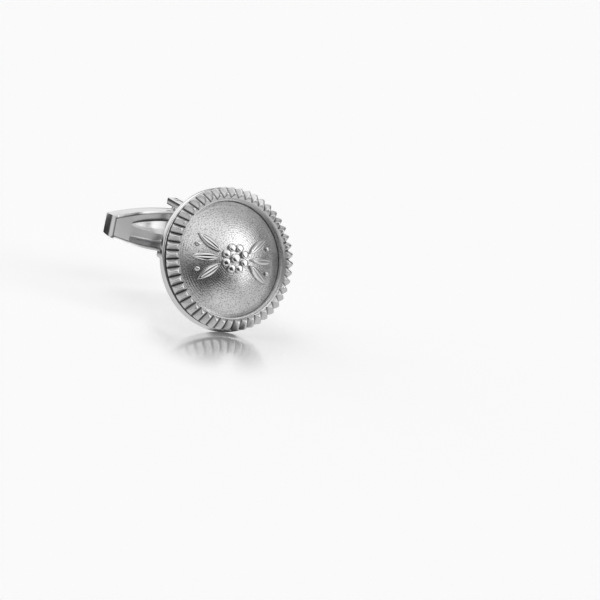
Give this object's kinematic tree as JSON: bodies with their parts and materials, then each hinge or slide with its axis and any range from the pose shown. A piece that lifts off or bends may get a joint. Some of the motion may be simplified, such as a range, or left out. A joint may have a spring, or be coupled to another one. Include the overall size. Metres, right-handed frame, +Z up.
{
  "type": "cufflink",
  "caption": "Round cufflink with a domed medallion in a reeded border, and a hollow toggle bar that swings on a U-shaped yoke.",
  "frame": {"origin": "centre of the bounding box, on the surface that the rim stands on", "axes": "+X along the toggle bar to the wearer's right of the face, -Y the front, towards which the leaning face looks, +Y along the level yoke to the toggle's flat back, +Z up along the pivot pin"},
  "size_m": [0.0182, 0.0216, 0.0177],
  "materials": {
    "polished_silver": "polished silver",
    "satin_silver": "satin silver",
    "grained_silver": "fine-grained matt silver",
    "spring_metal": "bright spring metal"
  },
  "bodies": {
    "head": {"back_plate": "polished_silver", "reeded_border": "satin_silver", "domed_field": "grained_silver", "rosette": "polished_silver", "leaves": "polished_silver", "pellets": "polished_silver", "yoke_pad": "polished_silver", "yoke": "polished_silver", "pivot_pin": "polished_silver"},
    "toggle": {"toggle_shell": "polished_silver", "toggle_ends": "polished_silver", "leaf_spring": "spring_metal"}
  },
  "joints": [
    {"name": "toggle_swing", "type": "hinge", "parent": "head", "child": "toggle", "pos_m": [0, 0.00901, 0.00848], "axis": [0, 0, 1], "range_deg": [-90, 90]}
  ]
}
